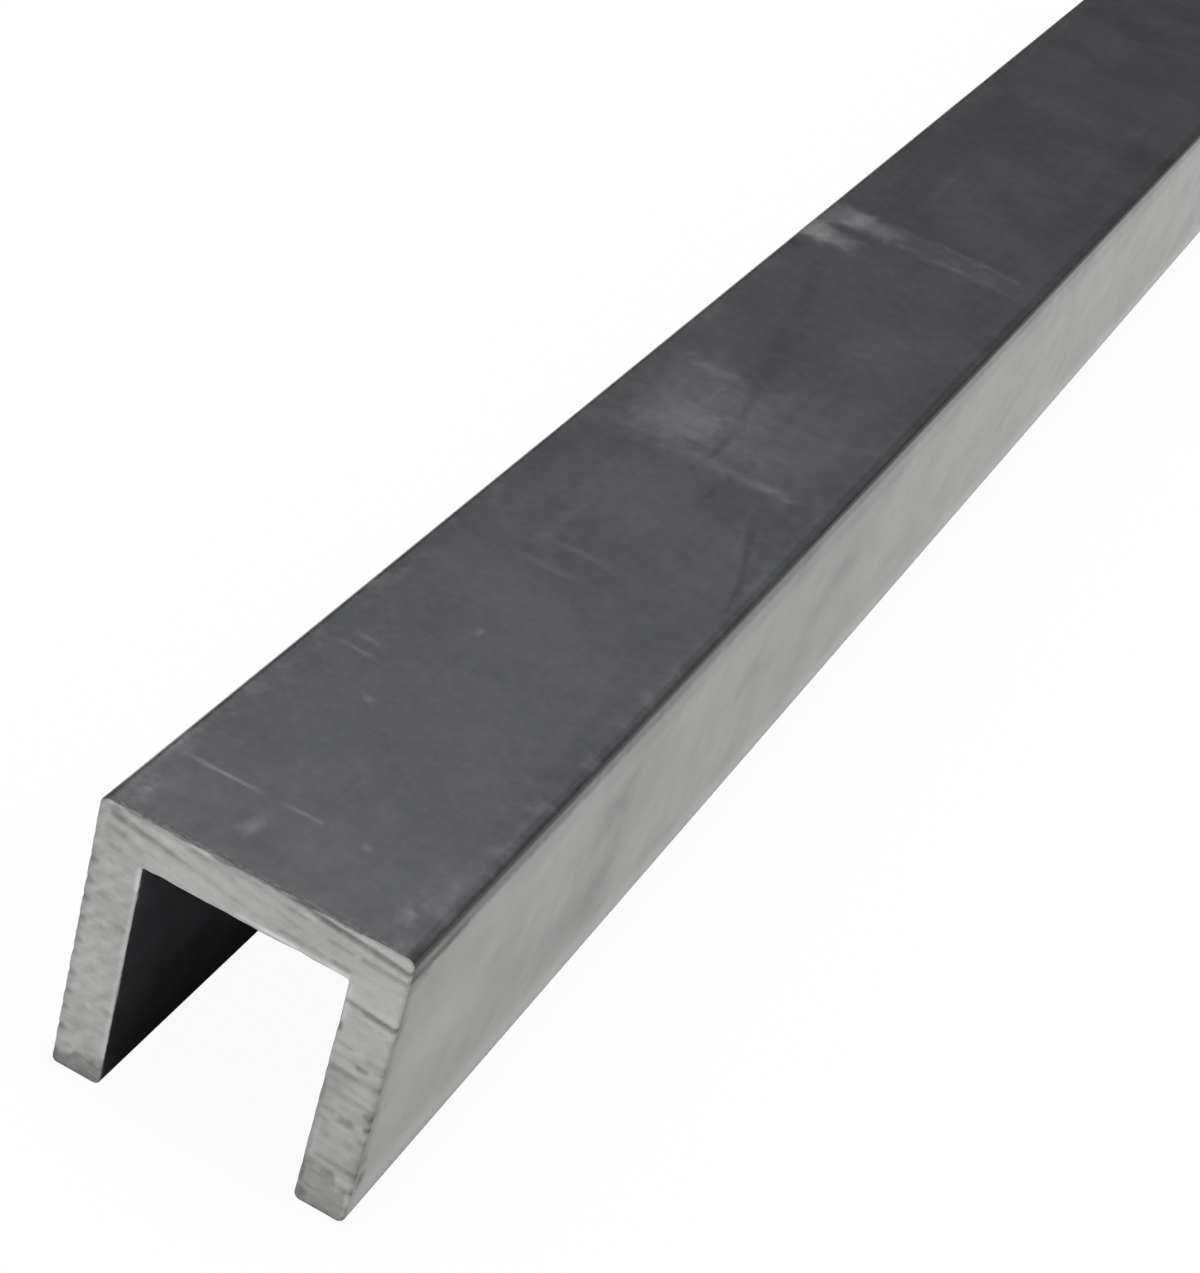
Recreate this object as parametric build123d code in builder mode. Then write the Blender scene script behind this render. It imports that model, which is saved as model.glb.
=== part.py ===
"""Extruded aluminium channel section: one straight length of square U-shaped stock.

The piece lies as it is stored, with the flange toes down and the web up. The origin is
the middle of the footprint, on the plane that the toes rest on: +X runs across the web,
+Y along the length and +Z from the toes to the web. All sizes are in millimetres.
"""

import os

from build123d import *

INCH = 25.4

# Section, as the die gives it
width = 0.75 * INCH  # across the web, from one flange's outer face to the other's
height = 0.75 * INCH  # from the toes to the web's outer face
web_thickness = 0.125 * INCH
flange_thickness = 0.125 * INCH

# Corner radii of the section
shoulder_radius = 0.5  # outside, where the web turns into a flange
root_radius = 0.2  # inside, where the web meets a flange
toe_radius = 0.4  # both edges of each flange toe

# Cut length, square at both ends
length = 12 * INCH

# The slot between the flanges
slot_width = width - 2 * flange_thickness
slot_depth = height - web_thickness

outline = [
    (-width / 2, 0),
    (-width / 2, height),
    (width / 2, height),
    (width / 2, 0),
    (slot_width / 2, 0),
    (slot_width / 2, slot_depth),
    (-slot_width / 2, slot_depth),
    (-slot_width / 2, 0),
]

with BuildPart() as channel_section:
    with BuildSketch(Plane.XZ) as section:
        with BuildLine():
            Polyline(*outline, close=True)
        make_face()
        shoulders = section.vertices().group_by(Axis.Y)[-1]
        fillet(shoulders, shoulder_radius)
        roots = section.vertices().filter_by_position(Axis.Y, slot_depth, slot_depth)
        fillet(roots, root_radius)
        toes = section.vertices().group_by(Axis.Y)[0]
        fillet(toes, toe_radius)
    extrude(amount=length / 2, both=True)

channel_section.part.label = "channel_section"

os.makedirs("parts", exist_ok=True)
export_step(channel_section.part, "parts/channel_section.step")
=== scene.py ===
"""A length of square aluminium channel stock, lying on its flange toes on a pale floor.

Shapes are worked out in millimetres in the frame of the CAD model and are turned into
metres when the mesh is made: +X runs across the web, +Y along the length and +Z up.
"""

import math

import bpy
import numpy as np
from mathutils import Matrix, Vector


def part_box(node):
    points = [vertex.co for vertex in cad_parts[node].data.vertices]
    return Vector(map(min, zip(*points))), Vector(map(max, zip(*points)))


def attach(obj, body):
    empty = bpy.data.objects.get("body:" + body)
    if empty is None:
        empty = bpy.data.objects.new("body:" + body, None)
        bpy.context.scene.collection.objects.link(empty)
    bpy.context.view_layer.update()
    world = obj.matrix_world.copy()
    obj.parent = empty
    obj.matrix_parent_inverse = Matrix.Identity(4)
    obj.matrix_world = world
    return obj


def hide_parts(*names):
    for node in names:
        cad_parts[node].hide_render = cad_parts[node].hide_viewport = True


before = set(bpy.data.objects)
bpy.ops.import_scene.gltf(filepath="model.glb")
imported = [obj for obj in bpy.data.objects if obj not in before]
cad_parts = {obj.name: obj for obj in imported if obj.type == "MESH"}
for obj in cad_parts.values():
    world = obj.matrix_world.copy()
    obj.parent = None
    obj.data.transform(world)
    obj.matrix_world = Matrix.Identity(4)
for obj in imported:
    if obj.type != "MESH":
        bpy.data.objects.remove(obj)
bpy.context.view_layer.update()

MM = 0.001

# Section and length, as the CAD model has them
half_width, half_length, height = (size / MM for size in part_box("channel_section")[1])
wall = 3.175
slot_half = half_width - wall
slot_ceiling = height - wall
shoulder_radius = 0.5
root_radius = 0.2
toe_radius = 0.4

# The saw that cut the ends: its strokes are arcs of the blade's radius
blade_radius = 127.0
blade_side = 20.0

# Its fine strokes, in two sets: pitch, depth and the size of the patches where they show
fine_strokes = [(1.3, 0.035, 3.0), (0.38, 0.016, 1.4)]
lowest_stroke = -8.0
stroke_count = 90

# Shares of their listed depths that the deeper strokes and the nicks reach on the flat face
stroke_share = 0.35
nick_share = 0.3
nick_fade = 0.35

# Depths in mm of the rest of the saw's relief
roughness_depth = 0.02
scratch_depth = 0.022
worn_depth = 0.02
bite_depth = 0.05
bite_tail_depth = 0.01

# Least width in mm of the broken edge round a sawn end, and what widens it
least_broken = 0.03
uneven_broken = 0.1
wavy_broken = 0.12
groove_broken = 0.1
right_broken = 0.1

# Spacing of the mesh's points: across the strokes on a sawn end, and along the web there
grid = 0.095
web_column = 0.4

# Points on the arcs of the outline
toe_points = 7
shoulder_points = 13

# The mesh's rings: distances from the ends, and how many there are between
near_rings = np.array([0.45, 0.9, 1.6, 3.0, 5.5, 9.0])
first_middle_ring = 15.0
middle_rings = 15

# The rounded band from a sawn end to the outline: parts of its quarter turn
rounding = (0.35, 0.75, 1.0)

# Seeds of the random saw marks: those of each end, and the back end's deeper strokes
front_seed = 5
back_seed = 23
back_strokes_seed = 41

# Which finish each face of the mesh takes
WEB, FLANGE, SLOT, SAWN = range(4)


def arc(centre, radius, start, stop, count):
    """Points centre + radius * (cos a, sin a), with a running from start to stop degrees."""
    a = np.radians(np.linspace(start, stop, count))
    return np.array(centre) + radius * np.stack([np.cos(a), np.sin(a)], 1)


def evenly(points, count):
    """The same polyline with its points spread evenly along it."""
    steps = np.hypot(*np.diff(points, axis=0).T)
    along = np.r_[0, np.cumsum(steps)]
    wanted = np.linspace(0, along[-1], count)
    return np.stack([np.interp(wanted, along, points[:, k]) for k in (0, 1)], 1)


def rails():
    """The section as two rails with as many points each, from the left toe over the web.

    The outer rail follows the outside of the section and the inner rail the slot. A point
    of the wall is (1 - t) * outer + t * inner, so t runs across the wall from 0 to 1.
    """
    w, h, r = half_width, height, toe_radius
    bend = slot_ceiling - root_radius
    landing = slot_half - root_radius
    rows = round((bend - r) / grid) + 1
    fan = round(2 * (wall + root_radius) / grid) + 1
    columns = round(landing / web_column) + 1
    corner = (-w + shoulder_radius, h - shoulder_radius)
    shoulder = arc(corner, shoulder_radius, 180, 90, shoulder_points)
    outside = [
        arc((-w + r, r), r, 270, 180, toe_points),
        np.linspace((-w, r), (-w, bend), rows),
        evenly(np.vstack([[(-w, bend)], shoulder, [(-landing, h)]]), fan),
        np.linspace((-landing, h), (0, h), columns),
    ]
    inside = [
        arc((-slot_half - r, r), r, 270, 360, toe_points),
        np.linspace((-slot_half, r), (-slot_half, bend), rows),
        arc((-landing, bend), root_radius, 180, 90, fan),
        np.linspace((-landing, slot_ceiling), (0, slot_ceiling), columns),
    ]
    halves = []
    for parts in (outside, inside):
        left = np.vstack([parts[0]] + [part[1:] for part in parts[1:]])
        halves.append(np.vstack([left, left[-2::-1] * (-1, 1)]))
    return halves


def fade(value, low, high):
    """An even change from 0 at low to 1 at high, held beyond both. Low may be the larger."""
    return np.clip((value - low) / (high - low), 0, 1)


def bump(distance, reach):
    """1 at no distance, falling to 0 at reach: 1 - (distance / reach)^2."""
    return np.clip(1 - (distance / reach) ** 2, 0, 1)


def smooth_noise(x, z, size, seed):
    """Values in 0..1 that change smoothly over size: random numbers on a lattice, blended."""
    lattice = np.random.default_rng(seed).random((64, 64))
    u, v = np.asarray(x) / size + 31.7, np.asarray(z) / size + 17.3
    i, j = np.floor(u).astype(int), np.floor(v).astype(int)
    a, b = u - i, v - j
    a, b = a * a * (3 - 2 * a), b * b * (3 - 2 * b)
    low = lattice[i % 64, j % 64] * (1 - a) + lattice[(i + 1) % 64, j % 64] * a
    high = lattice[i % 64, (j + 1) % 64] * (1 - a) + lattice[(i + 1) % 64, (j + 1) % 64] * a
    return low * (1 - b) + high * b


def near_line(x, z, start, stop, reach):
    """1 on the line from start to stop, falling to 0 at reach as the square of bump."""
    (x0, z0), (x1, z1) = start, stop
    dx, dz = x1 - x0, z1 - z0
    t = np.clip(((x - x0) * dx + (z - z0) * dz) / (dx * dx + dz * dz), 0, 1)
    away = np.hypot(x - x0 - t * dx, z - z0 - t * dz)
    return bump(away, reach) ** 2


# Deeper strokes on the front end: from (x, z) to (x, z), reach to each side and depth
front_strokes = [
    (-8.5, 18.9, -8.3, 18.4, 0.22, 0.04),
    (-8.6, 18.3, -6.3, 17.95, 0.26, 0.08),
    (-6.3, 17.95, -4.7, 17.7, 0.26, 0.085),
    (-4.7, 17.7, -3.5, 17.5, 0.2, 0.055),
    (-3.5, 17.5, -0.5, 16.95, 0.2, 0.035),
    (-8.8, 17.35, -7.8, 17.3, 0.27, 0.045),
    (-7.8, 17.2, -6.6, 16.9, 0.2, 0.025),
    (-8.4, 16.3, -7.9, 16.25, 0.27, 0.06),
    (-8.25, 15.35, -8.05, 15.25, 0.24, 0.05),
    (-3.8, 18.6, -2.8, 18.45, 0.2, 0.06),
    (-2.8, 18.4, -1.0, 18.15, 0.24, 0.032),
    (1.3, 19.1, 3.0, 18.95, 0.2, 0.15),
    (3.0, 18.93, 4.0, 18.72, 0.2, 0.13),
    (4.0, 18.72, 6.5, 18.48, 0.22, 0.13),
    (6.5, 18.48, 9.5, 18.1, 0.24, 0.12),
    (2.2, 18.3, 3.5, 18.15, 0.18, 0.04),
    (2.2, 17.6, 2.9, 17.4, 0.18, 0.05),
    (5.0, 17.65, 6.1, 17.5, 0.18, 0.06),
    (6.9, 17.55, 9.5, 17.4, 0.24, 0.07),
    (0.4, 16.78, 1.5, 16.7, 0.18, 0.03),
    (2.0, 16.65, 3.2, 16.55, 0.18, 0.05),
    (4.0, 16.6, 4.4, 16.5, 0.18, 0.05),
    (5.3, 16.5, 6.2, 16.4, 0.18, 0.06),
    (6.5, 14.6, 7.5, 14.45, 0.2, 0.08),
    (7.5, 14.42, 9.6, 14.2, 0.23, 0.11),
    (7.0, 13.75, 8.2, 13.65, 0.22, 0.02),
    (7.0, 13.2, 9.0, 13.0, 0.6, 0.012),
    (6.4, 12.95, 6.42, 12.7, 0.25, 0.15),
    (6.6, 11.75, 7.3, 11.7, 0.24, 0.04),
    (8.5, 11.4, 9.6, 11.3, 0.22, 0.035),
    (9.1, 11.0, 9.6, 10.95, 0.22, 0.04),
    (6.5, 11.0, 7.8, 10.95, 0.18, 0.03),
    (8.05, 10.72, 8.5, 10.7, 0.22, 0.10),
    (6.6, 10.0, 7.2, 10.0, 0.28, 0.06),
    (7.2, 9.95, 9.4, 9.9, 0.24, 0.055),
    (6.6, 9.2, 9.4, 9.0, 0.18, 0.02),
    (6.6, 8.5, 8.8, 8.35, 0.24, 0.03),
    (9.15, 7.9, 9.6, 7.85, 0.24, 0.05),
    (6.7, 7.15, 7.3, 7.1, 0.2, 0.035),
    (7.9, 6.82, 8.4, 6.78, 0.34, 0.065),
    (9.35, 6.95, 9.7, 6.9, 0.24, 0.10),
    (6.5, 6.4, 7.0, 6.35, 0.16, 0.03),
    (6.5, 9.0, 6.5, 1.5, 0.16, 0.04),
    (7.0, 3.75, 8.3, 3.65, 0.18, 0.045),
    (8.3, 3.65, 9.4, 3.6, 0.24, 0.05),
    (6.6, 3.12, 7.4, 3.05, 0.36, 0.05),
    (7.4, 3.02, 8.3, 2.9, 0.32, 0.022),
    (7.2, 2.6, 8.6, 2.5, 0.5, 0.014),
    (8.5, 2.3, 9.5, 2.28, 0.18, 0.05),
    (6.65, 0.75, 6.75, 0.6, 0.4, 0.075),
    (-7.1, 11.28, -6.8, 11.22, 0.3, 0.055),
    (-8.5, 12.95, -8.2, 12.9, 0.2, 0.03),
    (-7.0, 5.35, -6.7, 5.25, 0.3, 0.045),
]

# Bright burrs and ledges on the front end, partly polished metal and partly a painted highlight, as above
# but with a brightness last
front_burrs = [
    (-8.9, 19.0, -8.3, 18.98, 0.28, 0.6),
    (-4.0, 18.98, -2.9, 18.88, 0.22, 0.4),
    (-0.5, 16.2, 1.3, 16.18, 0.18, 0.4),
    (1.3, 16.17, 3.1, 16.13, 0.2, 0.85),
    (3.1, 16.13, 5.2, 16.1, 0.17, 0.35),
    (5.2, 16.1, 6.2, 16.05, 0.21, 0.7),
    (-6.5, 15.7, -6.5, 14.3, 0.24, 0.5),
    (-6.5, 14.3, -6.5, 2.0, 0.2, 0.2),
    (6.55, 15.6, 6.55, 13.4, 0.22, 0.25),
    (3.6, 18.42, 3.1, 18.5, 0.2, 0.4),
    (5.0, 18.95, 9.2, 18.7, 0.26, 0.16),
    (-7.9, 18.7, -4.6, 18.4, 0.3, 0.22),
    (8.6, 2.85, 9.3, 2.8, 0.3, 0.2),
    (9.3, 6.4, 9.4, 6.35, 0.3, 0.2),
    (9.35, 1.9, 9.4, 0.6, 0.24, 0.24),
    (9.2, 6.12, 9.5, 6.08, 0.3, 0.3),
    (7.2, 10.4, 8.0, 10.35, 0.2, 0.15),
    (7.4, 14.85, 9.4, 14.7, 0.3, 0.1),
    (-7.9, 11.1, -7.8, 11.0, 0.28, 0.4),
    (-8.6, 11.95, -7.2, 11.7, 0.8, 0.09),
    (-8.6, 14.95, -7.0, 14.6, 0.9, 0.11),
    (-7.9, 5.1, -7.85, 5.0, 0.28, 0.35),
]

# Heights of the blade's bites along the left edge of the front end
front_bites = [14.8, 13.3, 12.1, 10.7, 9.1, 8.1, 6.7, 5.3, 4.15, 2.7]

# Nicks along the front end's upper edge: x, half width and depth
front_nicks = [
    (-7.4, 0.6, 0.17), (-6.3, 0.3, 0.04), (-4.8, 0.5, 0.12), (-3.2, 0.4, 0.05), (-2.0, 0.8, 0.19),
    (-0.6, 0.4, 0.08), (0.3, 0.3, 0.12), (2.1, 1.0, 0.10), (3.6, 0.5, 0.05), (5.6, 0.9, 0.06),
    (7.6, 0.7, 0.04),
]


def random_marks(seed):
    """As many deeper strokes, burrs and bites for the other end, at random places."""
    draw = np.random.default_rng(seed)
    strokes = []
    for z in np.arange(1.0, 18.5, 0.75) + draw.uniform(-0.3, 0.3, 24):
        side = draw.choice((-1, 1))
        first = side * draw.uniform(6.4, 7.5)
        run = side * draw.uniform(0.8, 3.0)
        reach, deep = draw.uniform(0.1, 0.18), draw.uniform(0.03, 0.1)
        strokes.append((first, z, first + run, z - 0.1 * run, reach, deep))
    for z in (16.6, 17.3, 17.9, 18.5):
        first = draw.uniform(-9, 0)
        reach, deep = draw.uniform(0.1, 0.16), draw.uniform(0.04, 0.1)
        strokes.append((first, z + 0.4, first + 8, z - 0.4, reach, deep))
    burrs = [(-5.5, 16.14, 1.5, 16.14, 0.22, 0.7), (6.5, 14.0, 6.5, 5.0, 0.2, 0.5)]
    bites = np.arange(2.5, 14.5, 1.32) + draw.uniform(-0.2, 0.2, 10)
    places = draw.uniform(-9, 9, 15)
    nicks = [(x, draw.uniform(0.3, 0.6), draw.uniform(0.04, 0.15)) for x in places]
    return strokes, burrs, bites, nicks


def stroke_level(x, z):
    """The height u = z - (x - side)^2 / (2 * radius), which is the same all along a stroke."""
    return z - (x - blade_side) ** 2 / (2 * blade_radius)


def cut_fine_strokes(x, z, seed):
    """Depth and groove mask of the fine strokes, the grooves darkened partly with painted shade.

    Over a stroke's level the depth is a row of ramps, each rising evenly and falling back
    in a short step, in two random sets. They show in patches, and the dark grooves at
    the steps, partly painted shade, are fainter on the legs.
    """
    u = stroke_level(x, z)
    draw = np.random.default_rng(seed)
    depth, groove_shade = np.zeros_like(u), np.zeros_like(u)
    strength = 0.22 - 0.1 * fade(z, 16, 14.5)
    for pitch, deep, patch in fine_strokes:
        gaps = pitch * draw.uniform(0.55, 1.45, stroke_count)
        edges = lowest_stroke + np.r_[0, np.cumsum(gaps)]
        amounts = deep * draw.uniform(0.1, 1.0, stroke_count)
        k = np.clip(np.searchsorted(edges, u) - 1, 0, stroke_count - 1)
        across = (u - edges[k]) / gaps[k]
        patchy = smooth_noise(x, 2.5 * u, patch, seed + 3) ** 1.5
        depth += amounts[k] * np.minimum(across, fade(across, 1, 0.75)) * (0.15 + 1.5 * patchy)
        dark = np.clip(1 - np.abs(across - 0.9) / 0.12, 0, 1)
        groove_shade += amounts[k] / deep * dark * patchy * strength
    return depth, groove_shade


def cut_listed_strokes(x, z, strokes, seed):
    """How strongly the listed strokes are cut: the deepest near_line, made ragged by noise."""
    ragged = 0.8 + 0.4 * smooth_noise(x, z, 0.5, seed + 5)
    cut = np.zeros_like(ragged)
    for x0, z0, x1, z1, reach, deep in strokes:
        near = near_line(x, z, (x0, z0), (x1, z1), 1.35 * reach * ragged)
        cut = np.maximum(cut, deep * near)
    return cut * (0.75 + 0.5 * smooth_noise(x, z, 0.6, seed + 6))


def cut_bites(x, z, bites):
    """Depth and groove mask of the blade's bites on the left edge, darkened partly with painted shade.

    Each is a short near_line across the edge, and runs on over the leg as a thin curve
    that sags as z = level - 0.55 + 0.12 * (x + 7.9)^2.
    """
    depth, groove_shade = np.zeros_like(x), np.zeros_like(x)
    on_leg = fade(x, -6.3, -6.8) * fade(x, -9.4, -8.9)
    for level in bites:
        start, stop = (-half_width - 0.1, level + 0.1), (-half_width + 0.35, level)
        near = near_line(x, z, start, stop, 0.36)
        sag = z - level + 0.55 - 0.12 * (x + 7.9) ** 2
        thin = np.clip(1 - np.abs(sag) / 0.18, 0, 1) * on_leg
        depth += bite_depth * near + bite_tail_depth * thin
        groove_shade += 0.26 * near + 0.05 * thin
    return depth, groove_shade


def nicked(x, nicks):
    """How deep the upper edge's nicks are at x: the sum of depth * bump over them."""
    return sum(deep * bump(x - place, reach) for place, reach, deep in nicks)


def raise_burrs(x, z, burrs, seed):
    """How bright the listed burrs are, partly a painted highlight: the sum of near_line over them, made
    ragged by noise.
    """
    ragged = 0.6 + 0.8 * smooth_noise(x, z, 0.7, seed + 8)
    burr_highlight = np.zeros_like(ragged)
    for x0, z0, x1, z1, reach, amount in burrs:
        burr_highlight += amount * near_line(x, z, (x0, z0), (x1, z1), reach * ragged)
    return burr_highlight


def toe_darkening(x, z, patches, small):
    """Mask of darkening toward the toes: dark up to a stepped, uneven level over each toe, and faint on
    the right leg.
    """
    left = 1.15 + 0.8 * fade(x, -8.4, -8.15) + 0.15 * fade(x, -7.6, -7.2)
    right = 0.5 + 1.8 * fade(x, 9.45, 9.2) + 0.85 * fade(x, 8.6, 8.3)
    level = np.where(x < 0, left, right) + 0.4 * (patches - 0.5) + 0.25 * (small - 0.5)
    shade_and_dirt = fade(z, level + 0.1, level - 0.45) * (0.55 + 0.5 * small)
    shade_and_dirt += np.where(x < 0, 0.5, 0.15) * fade(z, 1.4, 0.9)
    return shade_and_dirt + fade(x, 6, 6.3) * fade(z, 14, 8) * (0.35 + 0.6 * patches ** 2)


def dark_rim(x, z):
    """Groove mask of the darker places: the left edge, the upper edge and a band over the web's end, right
    of the middle.
    """
    web_end_band = fade(x, -2, 2) * fade(x, 8, 6) * fade(z, 16.2, 16.5) * fade(z, 18.8, 18.4)
    upper = 0.13 * fade(z, 18.3, 18.7) * fade(x, 2, 0.5) + 0.05 * fade(z, 18.45, 18.55)
    return 0.16 * fade(x, -9.1, -9.45) + 0.12 * web_end_band + upper


def saw_marks(x, z, marks, seed):
    """Depth behind the end plane in mm, and three masks: grooves darkened partly with painted shade, burrs
    brightened partly as a painted highlight, and darkening toward the toes.

    The depths of the strokes, bites and nicks add up. On the left leg come slanting
    scratches, noise drawn out along x + z. The right edge is worn back in fingers, noise
    drawn out along the strokes, and darkened there with painted shade. Nicks fade out a little below the
    upper edge.
    """
    strokes, burrs, bites, nicks = marks
    depth, groove_shade = cut_fine_strokes(x, z, seed)
    cut = cut_listed_strokes(x, z, strokes, seed)
    bitten, bite_groove = cut_bites(x, z, bites)
    on_left = fade(x, -5.9, -6.7)
    slanting = smooth_noise((x + z) * 0.25, z - x, 0.5, seed + 12)
    patches = smooth_noise(x, z, 0.7, seed + 14)
    small = smooth_noise(x, z, 0.34, seed + 15)
    fingers = smooth_noise(x / 3, stroke_level(x, z), 0.28, seed + 17)
    worn_and_shaded_edge = fade(x + 0.5 * fingers ** 2, 9.35, 9.6) * fade(z, 15.5, 13.5)
    depth += stroke_share * cut + bitten
    depth += nick_share * nicked(x, nicks) * fade(z, height - nick_fade, height)
    depth += roughness_depth * smooth_noise(x, z, 0.5, seed + 11)
    depth += scratch_depth * slanting * on_left + worn_depth * worn_and_shaded_edge
    # The grooves are darkened partly by dirt and partly by painted shade.
    groove_shade += cut / 0.2 + bite_groove
    groove_shade += (0.22 * slanting + 0.04 * small + 0.012) * on_left + 0.08 * patches
    # Painted shade along the worn right edge, and the darker places of dark_rim.
    groove_shade += 0.12 * worn_and_shaded_edge + dark_rim(x, z)
    # Bright burrs, partly a painted highlight.
    burr_highlight = raise_burrs(x, z, burrs, seed) + 0.1 * np.clip(1.4 - 2.4 * patches, 0, 1) * on_left
    masks = np.stack([groove_shade, burr_highlight, toe_darkening(x, z, patches, small)], -1)
    return depth, np.clip(masks, 0, 1)


def in_slot(x, z):
    """True for the points of the outline that lie on the slot's walls or its ceiling."""
    return (np.abs(x) < slot_half + 0.01) & (z < slot_ceiling + 0.01)


def on_top(z):
    """1 on the web's upper face and down the shoulders to 0.1 mm below it."""
    return fade(z, height - 0.3, height - 0.1)


def on_right(x):
    """1 on the right flange's outer face, falling to 0 over 0.3 mm."""
    return fade(x, half_width - 0.3, half_width)


def broken_width(x, z, marks, seed):
    """How wide the broken edge is at the points of an end's rim, in mm.

    To a least width come the squares of two noises, the coarse one only in the slot. It is
    wider at a groove, on the right flange's outer face, and by the nicks of the upper edge.
    """
    groove_shade = saw_marks(x, z, marks, seed)[1][:, 0]
    uneven = smooth_noise(x, z, 0.45, seed + 20)
    wavy = smooth_noise(x, z, 0.9, seed + 21)
    broken = least_broken + uneven_broken * uneven ** 2 + groove_broken * groove_shade
    broken += right_broken * on_right(x) + wavy_broken * wavy ** 2 * in_slot(x, z)
    return broken + on_top(z) * nicked(x, marks[3])


class Section:
    """The wall as a grid between the two rails, and the outline as a loop round that grid."""

    def __init__(self):
        self.outer, self.inner = rails()
        count, across = len(self.outer), round(wall / grid) + 1
        self.t = np.linspace(0, 1, across)[None, :, None]
        index = self.index = np.arange(count * across).reshape(count, across)
        # the outer rail, the right toe, the inner rail backwards and the left toe
        self.loop = np.concatenate([index[:, 0], index[-1, 1:-1], index[::-1, -1], index[0, -2:0:-1]])
        self.outline = self.fill(self.outer, self.inner).reshape(-1, 2)[self.loop]

    def fill(self, outer, inner):
        """The grid of points (1 - t) * outer + t * inner."""
        return (1 - self.t) * outer[:, None] + self.t * inner[:, None]

    def draw_in(self, broken):
        """The grid with its rim moved inward by a width for each point of the outline."""
        inset = np.zeros(self.index.size)
        inset[self.loop] = broken
        inset = inset.reshape(self.index.shape)
        toward = self.inner - self.outer
        toward /= np.hypot(*toward.T)[:, None]
        flat = self.fill(self.outer + toward * inset[:, :1], self.inner - toward * inset[:, -1:])
        flat[..., 1] += 0.5 * inset[0].max() * fade(flat[..., 1], toe_radius, 0)
        return flat

    def finishes(self):
        """The finish of each face along the outline, by the middle of its edge."""
        x, z = ((self.outline + np.roll(self.outline, -1, 0)) / 2).T
        kind = np.where(z > height - 0.3 * shoulder_radius, WEB, FLANGE)
        return np.where(in_slot(x, z), SLOT, kind)


class Shell:
    """The mesh as it grows: points with three masks each, and faces with a finish each."""

    def __init__(self):
        self.points, self.masks, self.faces, self.kinds = [], [], [], []

    def put(self, xyz, mask=0.0):
        """Adds points, and gives the index of the first one."""
        first = sum(len(points) for points in self.points)
        self.points.append(xyz)
        self.masks.append(np.broadcast_to(mask, (len(xyz), 3)))
        return first

    def cover(self, faces, kind):
        """Adds faces that have four corners each."""
        self.faces.append(faces)
        self.kinds.append(np.broadcast_to(kind, len(faces)))

    def piece(self, name):
        """The object made of all that, with the masks as attributes of its points."""
        mesh = bpy.data.meshes.new(name)
        places = np.vstack(self.points) * MM
        mesh.from_pydata(places.tolist(), [], np.vstack(self.faces).tolist())
        mesh.polygons.foreach_set("material_index", np.concatenate(self.kinds))
        for mask, label in zip(np.vstack(self.masks).T, ("groove_shade", "burr_highlight", "shade_and_dirt")):
            layer = mesh.attributes.new(label, "FLOAT", "POINT")
            layer.data.foreach_set("value", mask.astype(np.float32))
        mesh.update()
        mesh.shade_smooth()
        mesh.set_sharp_from_angle(angle=math.radians(30))
        made = bpy.data.objects.new(name, mesh)
        bpy.context.scene.collection.objects.link(made)
        return made


def put_end(shell, section, side, marks, seed):
    """One sawn end, in front for side 1 and at the back for -1, and the rings round it.

    The section's grid is drawn in at its rim and pushed behind the end plane by saw_marks.
    From its rim the rings follow a quarter turn, as wide as the broken edge, to the outline.
    """
    rim_x, rim_z = section.outline[:, 0] * side, section.outline[:, 1]
    broken = broken_width(rim_x, rim_z, marks, seed)
    flat = section.draw_in(broken)
    depth, mask = saw_marks(flat[..., 0] * side, flat[..., 1], marks, seed)
    y = -side * (half_length - depth)
    first = shell.put(np.stack([flat[..., 0], y, flat[..., 1]], -1).reshape(-1, 3), mask.reshape(-1, 3))
    index = section.index
    corners = [index[:-1, :-1], index[1:, :-1], index[1:, 1:], index[:-1, 1:]]
    shell.cover(first + np.stack(corners[::-side], -1).reshape(-1, 4), SAWN)

    rim, rim_depth = flat.reshape(-1, 2)[section.loop], depth.reshape(-1)[section.loop]
    rim_mask = mask.reshape(-1, 3)[section.loop]
    # Painted shade: the rounded band darkened toward the web, the slot's ceiling and the right flange,
    # where the burrs' painted highlight is taken off.
    between_flanges = (np.abs(rim_x) < slot_half) & (rim_z > height / 2)
    rim_shade = (0.95 - 0.2 * fade(rim_x, 1.5, 3)) * on_top(rim_z) + 0.6 * between_flanges
    rim_shade += 0.3 * on_right(rim_x)
    dulled = np.where(between_flanges | (on_top(rim_z) > 0), -1.0, 0.0)
    change = np.stack([rim_shade, dulled, np.zeros_like(rim_shade)], 1)
    rings = [first + section.loop]
    for part in rounding:
        turn = part * math.pi / 2
        place = rim + (section.outline - rim) * math.sin(turn)
        y = -side * (half_length - rim_depth - broken * (1 - math.cos(turn)))
        xyz = np.stack([place[:, 0], y, place[:, 1]], 1)
        rings.append(shell.put(xyz, np.clip(rim_mask + part * change, 0, 1)) + np.arange(len(xyz)))
    return rings[::side]


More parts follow.
